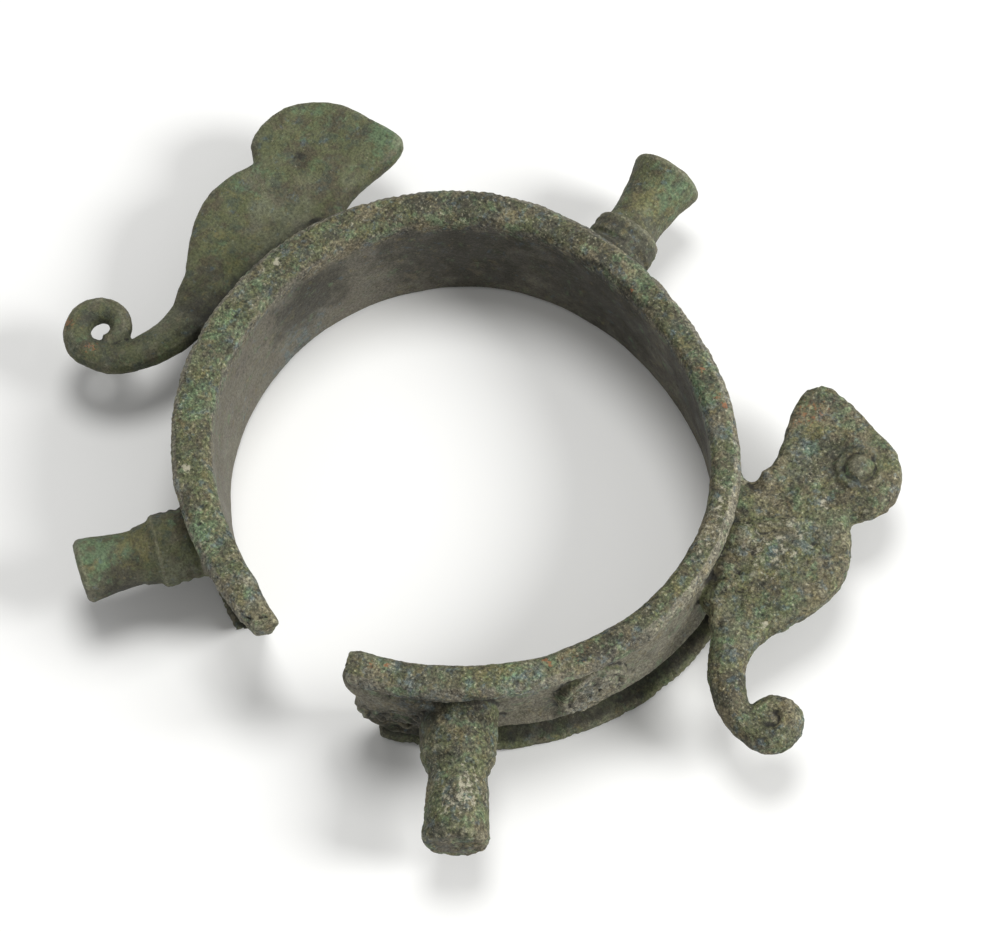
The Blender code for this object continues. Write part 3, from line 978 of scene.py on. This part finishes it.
    def mark(self, mesh: bpy.types.Mesh) -> None:
        """Store on each point how sunken or worn it is, how much painted shade and dirt darken it, and which
        patina lies there.

        Args:
            mesh: The finished mesh.
        """
        skin = Skin.of(mesh)
        edges = np.empty(len(mesh.edges) * 2, np.int64)
        mesh.edges.foreach_get("vertices", edges)
        bend = self.bend(skin, edges.reshape(-1, 2))
        # hollows, which are later darkened with dirt and painted shade
        self.store(mesh, "recess", ease(bend, *self.recess_bend))
        self.store(mesh, "wear", ease(-bend, *self.wear_bend))
        self.store(mesh, "inside", skin.inside())
        above_groove = ease(skin.height, *self.outside_fade)
        self.store(mesh, "outside", skin.on_hoop() * skin.faces_out() * above_groove)
        # painted shade and dirt by the lower rim, the top rim's painted shadow beside the hoop, painted shade
        # beneath
        self.store(mesh, "painted_shade_and_grime", PaintedShadeAndGrime().darkened(skin))
        self.store(mesh, "granular", self.granular(skin))
        for kind in Patina:
            total = np.zeros(len(mesh.vertices))
            for patch in PATCHES[kind]:
                near = skin.near(patch.centre, patch.radius * PATCH_REACH)
                total = np.maximum(total, patch.strength * near)
            self.store(mesh, kind.value, total)

    def bend(self, skin: Skin, edges: np.ndarray) -> np.ndarray:
        """How far each point lies below its wider neighbourhood, in millimetres.

        Args:
            skin: The finished skin.
            edges: The two ends of each edge.

        Returns:
            Positive values in hollows and negative ones on crests.
        """
        links = np.zeros(len(skin.points))
        np.add.at(links, edges.ravel(), 1.0)
        links = np.maximum(links, 1.0)[:, None]
        spread = skin.points.copy()
        for _ in range(self.bend_passes):
            total = np.zeros_like(spread)
            np.add.at(total, edges[:, 0], spread[edges[:, 1]])
            np.add.at(total, edges[:, 1], spread[edges[:, 0]])
            spread = self.bend_kept * spread + (1.0 - self.bend_kept) * total / links
        return np.einsum("ij,ij->i", spread - skin.points, skin.normals)

    def store(self, mesh: bpy.types.Mesh, name: str, values: np.ndarray) -> None:
        """Keep one value for each point in a named attribute."""
        layer = mesh.attributes.new(name, "FLOAT", "POINT")
        layer.data.foreach_set("value", np.clip(values, 0.0, 1.0).astype(np.float32))


@dataclass(frozen=True)
class PaintedShadeAndGrime:
    """Painted shade and dirt by the lower rim, the top rim's painted shadow on the left animal, painted shade
    beneath.
    """

    outer_fade: Pair = (1.4, 2.2)
    # painted shade and dirt in the groove over the lower rim
    groove_share: float = 0.65
    groove_top: Pair = (5.6, 3.8)
    groove_foot: Pair = (1.4, 2.4)
    rim_share: float = 0.10
    rim_top: Pair = (3.0, 2.2)
    # painted shadow of the top rim on the left animal beside the hoop
    beside_share: float = 0.8
    beside_fade: Pair = (7.0, 3.2)
    beside_heights: Pair = (8.0, 14.0)
    beside_start: Pair = (155.0, 160.0)
    beside_end: float = 225.0
    beneath_share: float = 0.7
    # painted shade on faces that look down
    beneath_facing: Pair = (-0.1, -0.6)

    def darkened(self, skin: Skin) -> np.ndarray:
        """How much painted shade and dirt darken each point.

        Args:
            skin: The finished skin.

        Returns:
            One share for each point.
        """
        outer = skin.on_hoop() * ease(skin.out, *self.outer_fade)
        # painted shade and dirt in the groove over the lower rim
        groove = outer * ease(skin.height, *self.groove_top) * ease(skin.height, *self.groove_foot)
        rim = self.rim_share * outer * ease(skin.height, *self.rim_top)
        far, close = self.beside_fade
        # painted shadow of the top rim on the left animal
        beside = self.beside_share * ease(skin.out, HOOP.rim_width + far, HOOP.rim_width + close)
        beside *= (skin.out > HOOP.wall) * (skin.height > self.beside_heights[0])
        beside *= (skin.height < self.beside_heights[1]) * ease(skin.angle, *self.beside_start)
        beside *= skin.angle < self.beside_end
        # painted shade on undersides
        beneath = self.beneath_share * ease(skin.normals[:, 2], *self.beneath_facing)
        return np.maximum.reduce((self.groove_share * groove, rim, beside, beneath))


def add_node(
    tree: bpy.types.NodeTree,
    kind: str,
    links: dict[str | int, bpy.types.NodeSocket] | None = None,
    inputs: dict[str | int, object] | None = None,
    **settings: object,
) -> bpy.types.Node:
    """Add a node, set it up and link its inputs.

    Args:
        tree: The material's node tree.
        kind: The node's Blender type.
        links: Output sockets by the name or number of the input that they feed.
        inputs: Plain values by the name or number of the input.
        **settings: The node's own properties.

    Returns:
        The new node.
    """
    node = tree.nodes.new(kind)
    for name, value in settings.items():
        setattr(node, name, value)
    for name, value in (inputs or {}).items():
        node.inputs[name].default_value = value
    for name, socket in (links or {}).items():
        tree.links.new(socket, node.inputs[name])
    return node


MIX_SHARE = 0
MIX_UNDER = 6
MIX_OVER = 7
MIX_COLOUR = 2


@dataclass(frozen=True)
class Tint:
    """A colour over the bronze, where its own grain and a value stored on the mesh add up to enough.

    The share that it covers rises from `low` to `high`, and is at most `most`. The stored value counts `pull`
    times.
    """

    colour: str
    grain_mm: float
    low: float
    high: float
    most: float
    stored: str = ""
    pull: float = 0.0


@dataclass(frozen=True)
class Speckle:
    """Fine dark and light grain: its size, its darkest and lightest, and the stored value that limits it."""

    grain_mm: float
    darkest: float
    lightest: float
    stored: str = ""


@dataclass(frozen=True)
class Grit:
    """Unevenness finer than the mesh holds: its size, its strength and its depth in millimetres."""

    grain_mm: float
    strength: float
    depth_mm: float


@dataclass(frozen=True)
class WeatheredBronze:
    """Leaded brass or bronze, lost-wax cast and long buried.

    Its patina is a dull mineral bloom, so it scatters light softly like stone, with hardly a metal's gloss.
    The eye sees olive and brown mottling in spots of about 2 to 9 mm, a dark and light grain under 1 mm,
    green bloom in patches, pale crusts, rusty specks and dirt in the hollows. Painted shade is laid into the
    colour
    too: with the dirt in the hollows, by the lower rim, on undersides, on the back of the inner wall, on the
    right stud's end and the left stud's lower side, and as a painted shadow of the top rim on the left
    animal.
    """

    base: str = "#575b3e"
    metallic: float = 0.10
    roughness: Pair = (0.62, 0.92)
    roughness_noise: Pair = (0.3, 0.7)
    roughness_mm: float = 3.2
    ground: tuple[Tint, ...] = (
        Tint("#4d4737", 3.4, 0.44, 0.60, 0.85),
        Tint("#39433a", 2.2, 0.50, 0.64, 0.60),
        Tint("#717260", 9.0, 0.50, 0.68, 0.45),
        Tint("#69645a", 2.0, 0.62, 0.95, 0.80, "inside", 0.5),
        Tint("#767164", 2.0, 0.62, 0.95, 0.75, "outside", 0.5),
        # umber: darker patina, with painted shade on the back of the inner wall and on the studs
        Tint("#35332b", 3.0, 0.58, 1.05, 0.85, "umber_and_painted_shade", 0.7),
        Tint("#6c6840", 1.6, 0.58, 0.80, 0.60, "ochre", 0.30),
        Tint("#5c7455", 1.8, 0.58, 0.80, 0.65, "verdigris", 0.30),
        Tint("#5d6a6c", 1.6, 0.60, 0.82, 0.65, "slate", 0.32),
        Tint("#37342a", 4.5, 0.60, 0.72, 0.60, "granular", 0.10),
        Tint("#6f6751", 5.5, 0.60, 0.72, 0.60, "granular", 0.10),
        Tint("#5e7455", 2.6, 0.58, 0.70, 0.50, "granular", 0.06),
        Tint("#776c48", 1.5, 0.58, 0.70, 0.40, "granular", 0.05),
        Tint("#50626a", 1.7, 0.59, 0.71, 0.45, "granular", 0.05),
        Tint("#a19c86", 0.45, 0.60, 0.74, 0.50, "granular", 0.06),
        Tint("#85826e", 0.6, 0.64, 1.30, 0.40, "wear", 1.0),
    )
    speckles: tuple[Speckle, ...] = (
        Speckle(0.35, 0.46, 1.54),
        Speckle(0.42, 0.18, 1.86, "granular"),
        Speckle(0.9, 0.68, 1.32, "granular"),
    )
    speckle_share: float = 0.9
    speckle_noise: Pair = (0.32, 0.68)
    # dirt and painted shade in hollows and by the hoop, then pale crusts and rust specks
    dirt_and_painted_shade: tuple[Tint, ...] = (
        # hollows and creases darkened: dirt with painted shade
        Tint("#1b1a15", 0.8, 0.56, 1.15, 0.90, "recess", 1.0),
        # dark colour for the painted shade, the painted shadow of the top rim and the dirt by the lower rim
        Tint("#1c1b16", 1.2, 0.60, 1.25, 0.80, "painted_shade_and_grime", 0.9),
        Tint("#b3ae99", 0.7, 0.68, 0.84, 0.80, "crust", 0.34),
        Tint("#90603f", 0.5, 0.66, 0.80, 0.75, "rust", 0.40),
    )
    tint_step: float = 2.7
    grit: tuple[Grit, ...] = (Grit(0.9, 0.8, 0.30), Grit(0.35, 0.8, 0.16))

    def build(self) -> bpy.types.Material:
        """Make the material.

        Returns:
            The finished material.
        """
        material = bpy.data.materials.new("patinated_bronze")
        material.use_nodes = True
        tree = material.node_tree
        tree.nodes.clear()
        place = add_node(tree, "ShaderNodeTexCoord").outputs["Object"]
        rough = self.noise(tree, place, self.roughness_mm, Detail=4.0)
        shine = self.ranged(tree, rough, self.roughness_noise, self.roughness)
        shader = add_node(
            tree, "ShaderNodeBsdfPrincipled",
            {
                "Base Color": self.coloured(tree, place),
                "Roughness": shine,
                "Normal": self.gritted(tree, place),
            },
            {"Metallic": self.metallic},
        )
        add_node(tree, "ShaderNodeOutputMaterial", {"Surface": shader.outputs[0]})
        return material

    def noise(
        self, tree: bpy.types.NodeTree, place: bpy.types.NodeSocket, grain_mm: float, **inputs: float
    ) -> bpy.types.NodeSocket:
        """Fractal noise whose coarsest grain has this size.

        Args:
            tree: The material's node tree.
            place: The point on the object.
            grain_mm: Size of the grain in millimetres.
            **inputs: The node's other inputs. A value for W makes the noise four-dimensional.

        Returns:
            The noise, mostly between 0.3 and 0.7.
        """
        settings = {"noise_dimensions": "4D"} if "W" in inputs else {}
        values = {"Scale": 1.0 / (grain_mm * MM), **inputs}
        return add_node(tree, "ShaderNodeTexNoise", {"Vector": place}, values, **settings).outputs["Fac"]

    def ranged(
        self, tree: bpy.types.NodeTree, value: bpy.types.NodeSocket, before: Pair, after: Pair,
        **settings: str,
    ) -> bpy.types.NodeSocket:
        """Turn one range of a value into another, and hold it at both ends.

        Args:
            tree: The material's node tree.
            value: The value.
            before: The value's low and high ends.
            after: What they become.
            **settings: The node's own properties.

        Returns:
            The new value.
        """
        ends = {"From Min": before[0], "From Max": before[1], "To Min": after[0], "To Max": after[1]}
        return add_node(tree, "ShaderNodeMapRange", {"Value": value}, ends, **settings).outputs[0]

    def stored(self, tree: bpy.types.NodeTree, name: str) -> bpy.types.NodeSocket:
        """A value that the mesh holds for each point."""
        return add_node(
            tree, "ShaderNodeAttribute", attribute_name=name, attribute_type="GEOMETRY"
        ).outputs["Fac"]

    def coloured(self, tree: bpy.types.NodeTree, place: bpy.types.NodeSocket) -> bpy.types.NodeSocket:
        """Build the colour up: the mottled ground, its grain, then dirt and painted shade in hollows and by
        the hoop, and what lies on top.

        Args:
            tree: The material's node tree.
            place: The point on the object.

        Returns:
            The colour of the finished surface.
        """
        colour = self.tinted(tree, place, None, self.ground)
        for speckle in self.speckles:
            specks = self.noise(tree, place, speckle.grain_mm, Detail=5.0, Roughness=0.7)
            shade = self.ranged(tree, specks, self.speckle_noise, (speckle.darkest, speckle.lightest))
            links = {MIX_UNDER: colour, MIX_OVER: shade}
            if speckle.stored:
                links[MIX_SHARE] = self.stored(tree, speckle.stored)
            colour = add_node(
                tree, "ShaderNodeMix", links, {MIX_SHARE: self.speckle_share},
                data_type="RGBA", blend_type="MULTIPLY",
            ).outputs[MIX_COLOUR]
        return self.tinted(tree, place, colour, self.dirt_and_painted_shade)

    def tinted(
        self, tree: bpy.types.NodeTree, place: bpy.types.NodeSocket, colour: bpy.types.NodeSocket | None,
        tints: tuple[Tint, ...],
    ) -> bpy.types.NodeSocket:
        """Lay tints over a colour, each over the one before it.

        Args:
            tree: The material's node tree.
            place: The point on the object.
            colour: What lies under the first tint, or nothing for the bare base.
            tints: The tints in their order.

        Returns:
            The colour with all of them.
        """
        for number, tint in enumerate(tints):
            step = self.tint_step * number
            share = self.noise(tree, place, tint.grain_mm, W=step, Detail=4.0, Roughness=0.65)
            if tint.stored:
                held = self.stored(tree, tint.stored)
                share = add_node(
                    tree, "ShaderNodeMath", {0: held, 2: share}, {1: tint.pull}, operation="MULTIPLY_ADD"
                ).outputs[0]
            cover = self.ranged(
                tree, share, (tint.low, tint.high), (0.0, tint.most), interpolation_type="SMOOTHSTEP"
            )
            under = {MIX_UNDER: colour} if colour else {}
            bare = {} if colour else {MIX_UNDER: srgb(self.base)}
            colour = add_node(
                tree, "ShaderNodeMix", {MIX_SHARE: cover, **under}, {MIX_OVER: srgb(tint.colour), **bare},
                data_type="RGBA",
            ).outputs[MIX_COLOUR]
        return colour

    def gritted(self, tree: bpy.types.NodeTree, place: bpy.types.NodeSocket) -> bpy.types.NodeSocket:
        """Raise grit finer than the mesh can hold, coarse first and fine over it.

        Args:
            tree: The material's node tree.
            place: The point on the object.

        Returns:
            The normal of the finished surface.
        """
        normal = None
        for grit in self.grit:
            height = self.noise(tree, place, grit.grain_mm, Detail=5.0, Roughness=0.6)
            below = {"Normal": normal} if normal else {}
            normal = add_node(
                tree, "ShaderNodeBump", {"Height": height, **below},
                {"Strength": grit.strength, "Distance": grit.depth_mm * MM},
            ).outputs[0]
        return normal


@dataclass(frozen=True)
class SoftBox:
    """A round light that faces the object, with its power in watts.

    It stands this far along the view's right, up and back, in metres.
    """

    name: str
    right: float
    up: float
    back: float
    size: float
    power: float


@dataclass(frozen=True)
class Studio:
    """The pale floor, the soft light and the camera."""

    boxes: tuple[SoftBox, ...] = (
        SoftBox("soft_box_above", 0.0, 0.9, 1.0, 0.6, 8.0),
        SoftBox("soft_box_right", 1.0, 0.15, 0.85, 0.5, 14.0),
    )
    floor_size: float = 3.0
    floor_drop: float = 0.05
    floor_colour: str = "#f4f4f2"
    floor_roughness: float = 0.95
    floor_gloss: float = 0.1
    world_colour: str = "#ffffff"
    world_strength: float = 0.40
    target: Point = (0.46, 3.60, 0.0)
    facing: float = 45.1
    elevation: float = 64.0
    roll: float = -11.018
    distance: float = 600.0
    lens: float = 153.74
    sensor: float = 36.0
    nearest_seen: float = 0.01

    def build(self) -> None:
        """Set up everything around the object."""
        self.floor()
        self.lights()
        self.camera()
        bpy.context.scene.view_settings.view_transform = "Standard"

    def floor(self) -> None:
        """Lay the plain floor just under the object."""
        bm = bmesh.new()
        bmesh.ops.create_grid(bm, x_segments=1, y_segments=1, size=self.floor_size / 2.0)
        mesh = bpy.data.meshes.new("floor")
        bm.to_mesh(mesh)
        bm.free()
        for vertex in mesh.vertices:
            vertex.co.z = -self.floor_drop * MM
        ground = bpy.data.objects.new("floor", mesh)
        bpy.context.scene.collection.objects.link(ground)
        material = bpy.data.materials.new("matt_white_board")
        material.use_nodes = True
        shader = material.node_tree.nodes["Principled BSDF"]
        shader.inputs["Base Color"].default_value = srgb(self.floor_colour)
        shader.inputs["Roughness"].default_value = self.floor_roughness
        shader.inputs["Specular IOR Level"].default_value = self.floor_gloss
        mesh.materials.append(material)

    def axes(self) -> tuple[Vector, Vector, Vector]:
        """The view's own directions, with its roll.

        Returns:
            Right, up and back.
        """
        turn = math.radians(self.facing)
        rise = math.radians(self.elevation)
        roll = math.radians(self.roll)
        right = Vector((math.cos(turn), math.sin(turn), 0.0))
        back = Vector((math.sin(turn) * math.cos(rise), -math.cos(turn) * math.cos(rise), math.sin(rise)))
        up = back.cross(right)
        return (
            math.cos(roll) * right + math.sin(roll) * up,
            math.cos(roll) * up - math.sin(roll) * right,
            back,
        )

    def camera(self) -> None:
        """Place the camera at the photograph's angle."""
        right, up, back = self.axes()
        data = bpy.data.cameras.new("camera")
        data.lens = self.lens
        data.sensor_width = self.sensor
        data.clip_start = self.nearest_seen
        made = bpy.data.objects.new("camera", data)
        place = Matrix.Translation((Vector(self.target) + back * self.distance) * MM)
        made.matrix_world = place @ Matrix((right, up, back)).transposed().to_4x4()
        bpy.context.scene.collection.objects.link(made)
        bpy.context.scene.camera = made

    def lights(self) -> None:
        """Hang a soft box over the object and a stronger one to the right of it, under an even sky."""
        right, up, back = self.axes()
        world = bpy.data.worlds.new("even_sky")
        world.use_nodes = True
        sky = world.node_tree.nodes["Background"]
        sky.inputs["Color"].default_value = srgb(self.world_colour)
        sky.inputs["Strength"].default_value = self.world_strength
        bpy.context.scene.world = world
        for box in self.boxes:
            place = right * box.right + up * box.up + back * box.back
            data = bpy.data.lights.new(box.name, "AREA")
            data.shape = "DISK"
            data.size = box.size
            data.energy = box.power
            lamp = bpy.data.objects.new(box.name, data)
            lamp.location = place
            lamp.rotation_euler = place.to_track_quat("Z", "Y").to_euler()
            bpy.context.scene.collection.objects.link(lamp)


def main() -> None:
    """Build the casting, dress it and set up the studio."""
    logging.basicConfig(level=logging.INFO, format="%(name)s: %(message)s")
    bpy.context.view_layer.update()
    casting = Casting().build()
    casting.data.materials.append(WeatheredBronze().build())
    Studio().build()
    LOG.info("studio ready")


if __name__ == "__main__":
    main()
